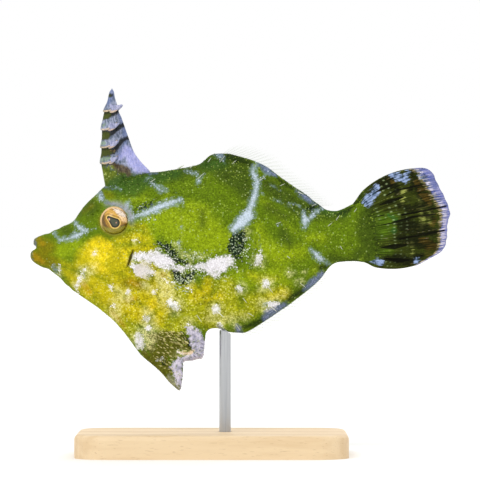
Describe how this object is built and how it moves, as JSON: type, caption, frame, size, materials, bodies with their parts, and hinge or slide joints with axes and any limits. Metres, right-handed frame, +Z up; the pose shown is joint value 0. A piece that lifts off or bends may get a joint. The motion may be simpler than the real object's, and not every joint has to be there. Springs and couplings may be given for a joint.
{
  "type": "aiptasia-eating filefish",
  "caption": "Life-size model of a deep-bodied, green and lilac filefish with a barbed dorsal spine and a belly flap, held by a rod on a flat base.",
  "frame": {"origin": "on the table, under the middle of the fish's length, in its mirror plane", "axes": "+X from the snout to the tail, +Y to the fish's right side, +Z up"},
  "size_m": [0.09, 0.036, 0.0785],
  "materials": {
    "skin": "soft green skin with lilac and yellow patches",
    "iris": "wet golden eye with a dark pupil",
    "fin": "thin rayed skin, banded dark green and lilac",
    "stand_base": "pale oiled wood",
    "stand_rod": "brushed"
  },
  "bodies": {
    "root": {"head": "skin", "trunk": "skin", "pelvic_flap": "skin", "tail_base": "skin", "eye_left": "iris", "eye_right": "iris", "dorsal_spine": "fin", "caudal_fin": "fin", "soft_dorsal_fin": "fin", "anal_fin": "fin", "pectoral_fin_left": "fin", "pectoral_fin_right": "fin", "stand_base": "stand_base", "stand_rod": "stand_rod"}
  },
  "joints": []
}
